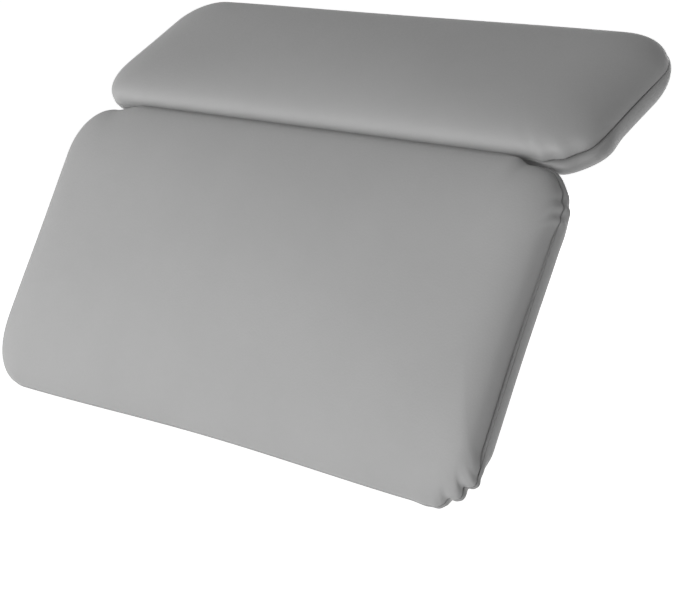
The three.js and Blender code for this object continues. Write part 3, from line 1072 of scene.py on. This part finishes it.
@dataclass
class CupSet:
    """Suction cups on the back of one cushion, each with a patch outside and a washer inside the cover."""

    side: Side
    centres: tuple[tuple[float, float], ...]
    cup_radius: float = 27.5
    hollow: float = 7.5
    rim_land: float = 3.0
    rim_thickness: float = 1.2
    boss_radius: float = 11.5
    boss_height: float = 3.4
    neck_radius: float = 4.5
    neck_clearance: float = 0.5
    head_radius: float = 8.0
    head_height: float = 4.5
    head_side: float = 1.6
    bell_power: float = 1.3
    tab_length: float = 7.0
    tab_width: float = 12.0
    tab_thickness: float = 1.6
    tab_sink: float = 0.48
    tab_edge: float = 0.4
    tab_root: float = 0.7  # share of the rim's land that the tab runs in over
    tab_steps: int = 16
    washer_radius: float = 11.0
    washer_thickness: float = 1.5
    patch_radius: float = 17.0
    patch_thickness: float = 1.0
    pocket_foot: float = -2.0  # past the back, so that the hole goes through
    stitch_radius: float = 14.4
    stitch_steps: int = 96
    stitch_sink: float = 0.12
    groove_half: float = 1.1
    groove_depth: float = 0.35
    turn_steps: int = 64
    curve_steps: int = 14

    @property
    def patch_foot(self) -> float:
        """Outer face of the patch, above the flat back."""
        return -FIT_GAP - self.patch_thickness

    @property
    def head_foot(self) -> float:
        """Underside of the button head, on its washer."""
        return COVER_WALL + self.washer_thickness + 2 * FIT_GAP

    def cup_profile(self) -> np.ndarray:
        """Half section of a cup, from the top of its button head round to the top of its hollow."""
        rim = -CUP_STAND_OFF
        boss_top = self.patch_foot - FIT_GAP
        boss_foot = boss_top - self.boss_height
        land = self.cup_radius - self.rim_land
        turns = np.linspace(0, math.pi / 2, self.curve_steps + 1)
        shoulder = self.head_foot + self.head_side
        dome_rise = self.head_height - self.head_side
        dome = np.stack([self.head_radius * np.sin(turns), shoulder + dome_rise * np.cos(turns)], axis=1)
        stem = rounded(
            (
                (self.head_radius, shoulder, 0),
                (self.head_radius, self.head_foot, 0.5),
                (self.neck_radius, self.head_foot, 0.4),
                (self.neck_radius, boss_top, 0.2),
                (self.boss_radius, boss_top, 0.5),
                (self.boss_radius, boss_foot, 0),
            )
        )
        share = np.linspace(0, 1, self.curve_steps + 1)
        bell_drop = rim + self.rim_thickness - boss_foot
        bell = np.stack(
            [
                self.boss_radius + (self.cup_radius - self.boss_radius) * share,
                boss_foot + bell_drop * share**self.bell_power,
            ],
            axis=1,
        )
        edge = rounded(
            (
                (self.cup_radius, rim + self.rim_thickness, 0),
                (self.cup_radius, rim, 0.45),
                (land, rim, 0),
            )
        )
        inside = np.stack([land * share[::-1], rim + self.hollow * (1 - share[::-1] ** 2)], axis=1)
        return np.concatenate([dome, stem[1:], bell[1:], edge[1:], inside[1:]])

    def tab(self, way: int) -> tuple[np.ndarray, Faces]:
        """Lift tab that peels the rim off the wall.

        Args:
            way: One if it points to the right and minus one to the left.

        Returns:
            Corners and faces of the rounded tongue.
        """
        root = self.cup_radius - self.rim_land * self.tab_root
        straight = self.cup_radius + self.tab_length - self.tab_width / 2
        foot = -CUP_STAND_OFF + self.tab_sink
        turns = np.linspace(-math.pi / 2, math.pi / 2, self.tab_steps + 1)
        edge, top = self.tab_edge, self.tab_thickness
        near = edge * 0.3  # what a round edge leaves of its corner
        rows = ((edge, 0.0), (near, near), (0.0, edge), (0.0, top - edge), (near, top - near), (edge, top))
        rings = []
        for inset, rise in rows:
            half = self.tab_width / 2 - inset
            tip = np.stack([straight + half * np.cos(turns), half * np.sin(turns)], axis=1)
            line = np.concatenate([[[root, -half]], tip, [[root, half]]]) * way
            rings.append(np.column_stack([line, np.full(len(line), foot + rise)]))
        count = len(rings[0])
        faces = grid_faces(len(rings), count)
        last = (len(rings) - 1) * count
        faces.append(tuple(range(count))[::-1])
        faces.append(tuple(last + k for k in range(count)))
        return np.concatenate(rings), faces

    def pocket_profile(self) -> np.ndarray:
        """Half section of the hole in the back cover and of the hollow behind it."""
        bore = self.neck_radius + self.neck_clearance
        room = max(self.washer_radius, self.head_radius) + FIT_GAP
        top = self.head_foot + self.head_height + FIT_GAP
        hollow = [(0, top), (room, top), (room, COVER_WALL)]
        return np.array(hollow + [(bore, COVER_WALL), (bore, self.pocket_foot), (0, self.pocket_foot)])

    def patch_profile(self) -> np.ndarray:
        """Closed section of a patch with a shallow stitched groove in its outer face."""
        bore = self.neck_radius + self.neck_clearance
        foot = self.patch_foot
        first, last = bore + 2, bore + 1  # where the loop starts and ends on the inner face
        corners = (
            (first, -FIT_GAP, 0),
            (self.patch_radius, -FIT_GAP, 0.2),
            (self.patch_radius, foot, 0.6),
            (self.stitch_radius + self.groove_half, foot, 0.5),
            (self.stitch_radius, foot + self.groove_depth, 0.5),
            (self.stitch_radius - self.groove_half, foot, 0.5),
            (bore, foot, 0.4),
            (bore, -FIT_GAP, 0.2),
            (last, -FIT_GAP, 0),
        )
        return rounded(corners)

    def placed(self, points: np.ndarray, centre: tuple[float, float]) -> np.ndarray:
        """Points of a piece made round the origin, moved to its cup in the part."""
        return FRAMES[self.side].place(points + np.array([*centre, 0.0]))

    def cut_pockets(self, cover: bpy.types.Object, skin: bpy.types.Material) -> None:
        """Cuts the holes for the necks, with room for the washers and heads, in the back of a cushion.

        Args:
            cover: Back of the cushion, a closed mesh.
            skin: Finish of the cut faces.
        """
        points, faces = turned(self.pocket_profile(), self.turn_steps // 2, False)
        rows, cells = [], []
        for k, centre in enumerate(self.centres):
            rows.append(self.placed(points, centre))
            cells += [tuple(k * len(points) + c for c in face) for face in faces]
        tool = mesh_piece("pockets", np.concatenate(rows), cells, skin)
        boolean(cover, tool, "DIFFERENCE")

    def build(
        self, clear: bpy.types.Material, patch_skin: bpy.types.Material, washer_skin: bpy.types.Material
    ) -> None:
        """Builds the cups and patches and gives the washers their finish.

        Args:
            clear: Finish of the cups.
            patch_skin: Finish of the patches.
            washer_skin: Finish of the washers.
        """
        bell = turned(self.cup_profile(), self.turn_steps, False)
        patch = turned(self.patch_profile(), self.turn_steps, True)
        for k, centre in enumerate(self.centres):
            label = f"{self.side.label}_{k + 1}"
            cup = mesh_piece(f"clear_cup_{label}", self.placed(bell[0], centre), bell[1], clear)
            tab_points, tab_faces = self.tab(-1 if centre[0] < 0 else 1)
            tongue = mesh_piece("tongue", self.placed(tab_points, centre), tab_faces, clear)
            boolean(cup, tongue, "UNION")
            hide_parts(f"suction_cup_{label}")
            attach(cup, f"cup_{label}")
            disc = mesh_piece(f"vinyl_patch_{label}", self.placed(patch[0], centre), patch[1], patch_skin)
            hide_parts(f"cup_patch_{label}")
            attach(disc, self.side.body)
            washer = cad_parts[f"cup_washer_{label}"]
            washer.data.materials.clear()
            washer.data.materials.append(washer_skin)
            report(cup)
            report(disc)

    def stitch_lines(self) -> list[np.ndarray]:
        """Closed lines of stitches round the patches, in the part, in metres."""
        turns = np.linspace(0, 2 * math.pi, self.stitch_steps + 1)[:-1]
        ring = np.stack([np.cos(turns), np.sin(turns)], axis=1) * self.stitch_radius
        line = np.column_stack([ring, np.full(len(ring), self.patch_foot + self.stitch_sink)])
        return [self.placed(line, centre) for centre in self.centres]


@dataclass
class Stitching:
    """Lock stitches in a row: short threads laid end to end along a line."""

    spacing: float = 3.8
    length: float = 2.9
    thread: float = 0.36

    @staticmethod
    def tree() -> bpy.types.NodeTree:
        """Node tree that lays one short thread at each step of a line."""
        tree = bpy.data.node_groups.new("row_of_stitches", "GeometryNodeTree")
        face = tree.interface
        face.new_socket("Line", in_out="INPUT", socket_type="NodeSocketGeometry")
        for name in ("Spacing", "Length", "Thread Radius"):
            face.new_socket(name, in_out="INPUT", socket_type="NodeSocketFloat")
        face.new_socket("Thread", in_out="INPUT", socket_type="NodeSocketMaterial")
        face.new_socket("Stitches", in_out="OUTPUT", socket_type="NodeSocketGeometry")
        given = add_node(tree, "NodeGroupInput").outputs
        curve = add_node(tree, "GeometryNodeMeshToCurve", {"Mesh": given["Line"]})
        steps = add_node(
            tree,
            "GeometryNodeResampleCurve",
            {"Curve": curve.outputs["Curve"], "Length": given["Spacing"]},
            mode="LENGTH",
        )
        tangent = add_node(tree, "GeometryNodeInputTangent")
        turn = add_node(
            tree, "FunctionNodeAlignRotationToVector", {"Vector": tangent.outputs["Tangent"]}, axis="Z"
        )
        half = add_node(tree, "ShaderNodeMath", {0: given["Length"], 1: 2.0}, operation="DIVIDE")
        size = add_node(
            tree,
            "ShaderNodeCombineXYZ",
            {"X": given["Thread Radius"], "Y": given["Thread Radius"], "Z": half.outputs[0]},
        )
        thread = add_node(tree, "GeometryNodeMeshUVSphere", {"Segments": 6, "Rings": 5, "Radius": 1.0})
        laid = add_node(
            tree,
            "GeometryNodeInstanceOnPoints",
            {
                "Points": steps.outputs["Curve"],
                "Instance": thread.outputs["Mesh"],
                "Rotation": turn.outputs["Rotation"],
                "Scale": size.outputs["Vector"],
            },
        )
        real = add_node(tree, "GeometryNodeRealizeInstances", {"Geometry": laid.outputs["Instances"]})
        smooth = add_node(tree, "GeometryNodeSetShadeSmooth", {"Geometry": real.outputs["Geometry"]})
        dyed = add_node(
            tree,
            "GeometryNodeSetMaterial",
            {"Geometry": smooth.outputs["Geometry"], "Material": given["Thread"]},
        )
        add_node(tree, "NodeGroupOutput", {"Stitches": dyed.outputs["Geometry"]})
        return tree

    def build(self, name: str, lines: list[np.ndarray], thread: bpy.types.Material) -> bpy.types.Object:
        """Sews rows of stitches along closed lines.

        Args:
            name: Name of the piece.
            lines: Points of each closed line, in the part, in metres.
            thread: Finish of the thread.

        Returns:
            The new piece.
        """
        points, edges = [], []
        for line in lines:
            first = sum(len(p) for p in points)
            points.append(line)
            edges += [(first + k, first + (k + 1) % len(line)) for k in range(len(line))]
        mesh = bpy.data.meshes.new(name)
        mesh.from_pydata(np.concatenate(points).tolist(), edges, [])
        piece = bpy.data.objects.new(name, mesh)
        bpy.context.scene.collection.objects.link(piece)
        tree = bpy.data.node_groups.get("row_of_stitches") or self.tree()
        sewn = piece.modifiers.new("stitches", "NODES")
        sewn.node_group = tree
        values = {
            "Spacing": self.spacing * MM,
            "Length": self.length * MM,
            "Thread Radius": self.thread * MM,
            "Thread": thread,
        }
        for item in tree.interface.items_tree:
            if item.name in values:
                sewn[item.identifier] = values[item.name]
        plain_mesh(piece)
        report(piece)
        return piece


@dataclass
class Studio:
    """Pale floor, soft lamps and the camera of the photograph."""

    camera_from_hinge: Point = (778.06, -780.87, 152.06)
    looking: Point = (-0.67774, 0.70125, -0.22118)
    lens: float = 107.562
    sensor: float = 36.0
    floor_drop: float = 0.10
    floor_size: float = 30.0
    floor_glow: float = 0.29
    floor_seen: float = 0.9
    lamps: tuple[tuple[str, Point, float, float], ...] = (
        ("front_key", (-0.225, -1.263, 0.177), 0.8, 7.22),
        ("left_fill", (-1.122, -0.635, 0.178), 0.8, 3.59),
        ("right_fill", (0.832, -0.980, 0.178), 0.8, 2.35),
        ("back_fill", (-0.450, 1.320, 0.050), 0.8, 5.0),
    )
    aim: float = 10.0  # how far in front of the hinge the lamps point, in millimetres
    world_fill: float = 0.133

    def camera(self) -> None:
        """Puts the camera where the photograph was taken from."""
        data = bpy.data.cameras.new("camera")
        data.lens = self.lens
        data.sensor_width = self.sensor
        data.clip_start = 0.01
        camera = bpy.data.objects.new("camera", data)
        camera.location = Vector((np.array(self.camera_from_hinge) + HINGE) * MM)
        camera.rotation_mode = "QUATERNION"
        camera.rotation_quaternion = Vector(self.looking).to_track_quat("-Z", "Y")
        bpy.context.scene.collection.objects.link(camera)
        bpy.context.scene.camera = camera

    def lamp(self, name: str, place: Point, width: float, power: float) -> None:
        """Adds a square soft box that faces the cushions.

        Args:
            name: Name of the lamp.
            place: Where it stands, in metres.
            width: Its side, in metres.
            power: Its power in watts.
        """
        data = bpy.data.lights.new(name, "AREA")
        data.size = width
        data.energy = power
        lamp = bpy.data.objects.new(name, data)
        lamp.location = Vector(place)
        lamp.rotation_mode = "QUATERNION"
        target = Vector((HINGE + LOWER_OUT * self.aim) * MM)
        lamp.rotation_quaternion = (target - lamp.location).to_track_quat("-Z", "Y")
        lamp.visible_camera = False
        bpy.context.scene.collection.objects.link(lamp)

    @staticmethod
    def level(tree: bpy.types.NodeTree, lighting: float, seen: float) -> bpy.types.NodeSocket:
        """Strength that differs between rays that carry light and rays that see the surroundings.

        Args:
            tree: Tree that gets the nodes.
            lighting: Strength as a light.
            seen: Strength for the camera, in gloss and through clear pieces.

        Returns:
            Socket with the strength.
        """
        path = add_node(tree, "ShaderNodeLightPath").outputs
        sight = path["Is Camera Ray"]
        for ray in ("Is Glossy Ray", "Is Transmission Ray"):
            either = add_node(tree, "ShaderNodeMath", {0: sight, 1: path[ray]}, operation="MAXIMUM")
            sight = either.outputs[0]
        strength = add_node(tree, "ShaderNodeMapRange", {"Value": sight, "To Min": lighting, "To Max": seen})
        return strength.outputs["Result"]

    def world(self) -> None:
        """Even fill light that the camera, gloss and clear pieces see as white."""
        world = bpy.data.worlds.new("studio")
        bpy.context.scene.world = world
        world.use_nodes = True
        tree = world.node_tree
        tree.nodes.clear()
        strength = self.level(tree, self.world_fill, 1.0)
        light = add_node(tree, "ShaderNodeBackground", {"Color": linear("#FFFFFF"), "Strength": strength})
        add_node(tree, "ShaderNodeOutputWorld", {"Surface": light.outputs["Background"]})

    def floor(self) -> None:
        """White floor that keeps a soft shadow."""
        material, tree = fresh_material("white_paper_floor")
        paper = add_node(tree, "ShaderNodeBsdfDiffuse", {"Color": linear("#EDEDED")})
        strength = self.level(tree, self.floor_glow, self.floor_seen)
        glow = add_node(tree, "ShaderNodeEmission", {"Color": linear("#FFFFFF"), "Strength": strength})
        both = add_node(tree, "ShaderNodeAddShader", {0: paper.outputs["BSDF"], 1: glow.outputs["Emission"]})
        add_node(tree, "ShaderNodeOutputMaterial", {"Surface": both.outputs["Shader"]})
        low = CAD_BOX[0][2] - self.floor_drop
        half = self.floor_size / 2
        corners = np.array([[-half, -half, low], [half, -half, low], [half, half, low], [-half, half, low]])
        mesh_piece("floor", corners, [(0, 1, 2, 3)], material)

    def build(self) -> None:
        """Sets up the whole studio."""
        self.camera()
        self.world()
        self.floor()
        for lamp in self.lamps:
            self.lamp(*lamp)
        bpy.context.scene.view_settings.view_transform = "Standard"


LOWER_CUSHION = Cushion(
    Side.LOWER,
    LOWER_HEIGHT,
    thickness=41.4,
    end_roll=28.0,
    free_roll=86.9,
    hinge_roll=53.8,
    front_power=2.57,
    crown_share=0.18,
    slack=2.4,
    end_power=2.8,
    hinge_bulge=4.4,
    gathers={
        0: Gather(
            knots=(
                *((-30.0, 0.0), (-24.0, 0.6), (-20.0, 1.6), (-17.0, 0.4), (-13.5, 1.9), (-9.5, 0.4)),
                *((-6.0, 1.5), (-2.0, 1.2), (6.0, 1.6), (14.0, 0.6), (24.0, 0.0)),
            ),
            front_reach=10.0,
            shoulder=((-24.0, 0.0), (-8.0, 1.6), (8.0, 2.0), (24.0, 0.0)),
            open=((-110.0, 1.0), (-70.0, 0.3), (-34.0, 0.1), (-26.0, 0.8)),
        ),
        3: Gather(
            knots=(
                *((-30.0, 0.0), (-15.0, 0.9), (-10.2, 2.0), (-7.0, 1.4), (-4.4, -0.4), (-3.2, -0.3)),
                *((-1.0, 1.9), (1.8, 3.2), (4.0, 2.3), (5.6, -0.5), (6.7, -0.2), (8.6, 3.3)),
                *((11.0, 4.6), (14.5, 2.6), (26.0, 0.0)),
            ),
            front_reach=6.0,
            back_reach=5.0,
            back_draw=((-40.0, 0.0), (-14.0, -4.0), (3.0, -5.5), (10.0, -3.5), (26.0, 0.0)),
        ),
    },
)
UPPER_CUSHION = Cushion(
    Side.UPPER,
    UPPER_HEIGHT,
    thickness=43.6,
    end_roll=48.0,
    free_roll=30.7,
    hinge_roll=44.9,
    front_power=2.95,
    crown_share=0.27,
    slack=1.1,
    end_power=2.7,
    hinge_bulge=0.8,
    back_end_roll=21.0,
    short_steps=28,
    gathers={
        3: Gather(
            knots=(
                *((-24.0, 0.0), (-16.0, 0.9), (-11.0, -0.2), (-5.0, 1.0)),
                *((1.0, 0.1), (8.0, 0.9), (18.0, 0.0)),
            ),
            shoulder=((-19.0, 0.0), (-7.0, 5.5), (7.0, 4.6), (34.0, 0.0)),
            open=(
                *((-22.0, 0.3), (-9.0, 0.8), (4.0, 0.8), (9.0, 0.3)),
                *((15.0, 0.7), (60.0, 0.6), (80.0, 0.0), (120.0, 1.0)),
            ),
        ),
    },
)


LOWER_CUP_PITCH = (PANEL_WIDTH - 2 * CUP_END_INSET, LOWER_HEIGHT - 2 * CUP_ROW_INSET)
UPPER_CUP_PITCH = PANEL_WIDTH / 2 - CUP_END_INSET
LOWER_CUPS = CupSet(
    Side.LOWER,
    tuple(
        (column * LOWER_CUP_PITCH[0] / 2, back_middle(Side.LOWER) + row * LOWER_CUP_PITCH[1] / 2)
        for row in (-1, 1)
        for column in (-1, 1)
    ),
)
UPPER_CUPS = CupSet(
    Side.UPPER, tuple((column * UPPER_CUP_PITCH, back_middle(Side.UPPER)) for column in (-1, 0, 1))
)


def main() -> None:
    """Builds the pillow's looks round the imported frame."""
    logging.basicConfig(level=logging.INFO, format="%(message)s")
    Studio().build()
    front_skin = GrainedVinyl("embossed_pvc_leathercloth", "#ACACAC", "#A5A5A5").material()
    back_skin = GrainedVinyl("embossed_pvc_backing_cloth", "#A3A3A3", "#9B9B9B").material()
    patch_skin = GrainedVinyl("embossed_pvc_patch", "#9B9B9B", "#939393").material()
    clear = ClearPvc().material()
    washer_skin = MouldedWasher().material()
    thread = BondedThread().material()
    HingeStrip().build(back_skin)
    for cushion, cups in ((LOWER_CUSHION, LOWER_CUPS), (UPPER_CUSHION, UPPER_CUPS)):
        side = cushion.side
        cushion.build(front_skin, back_skin, cups)
        cups.build(clear, patch_skin, washer_skin)
        seam = [cushion.seam_path(SEAM_STITCH_DEPTH)]
        bend(Stitching().build(f"{side.label}_seam_stitches", seam, thread))
        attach(Stitching().build(f"{side.label}_patch_stitches", cups.stitch_lines(), thread), side.body)


if __name__ == "__main__":
    main()
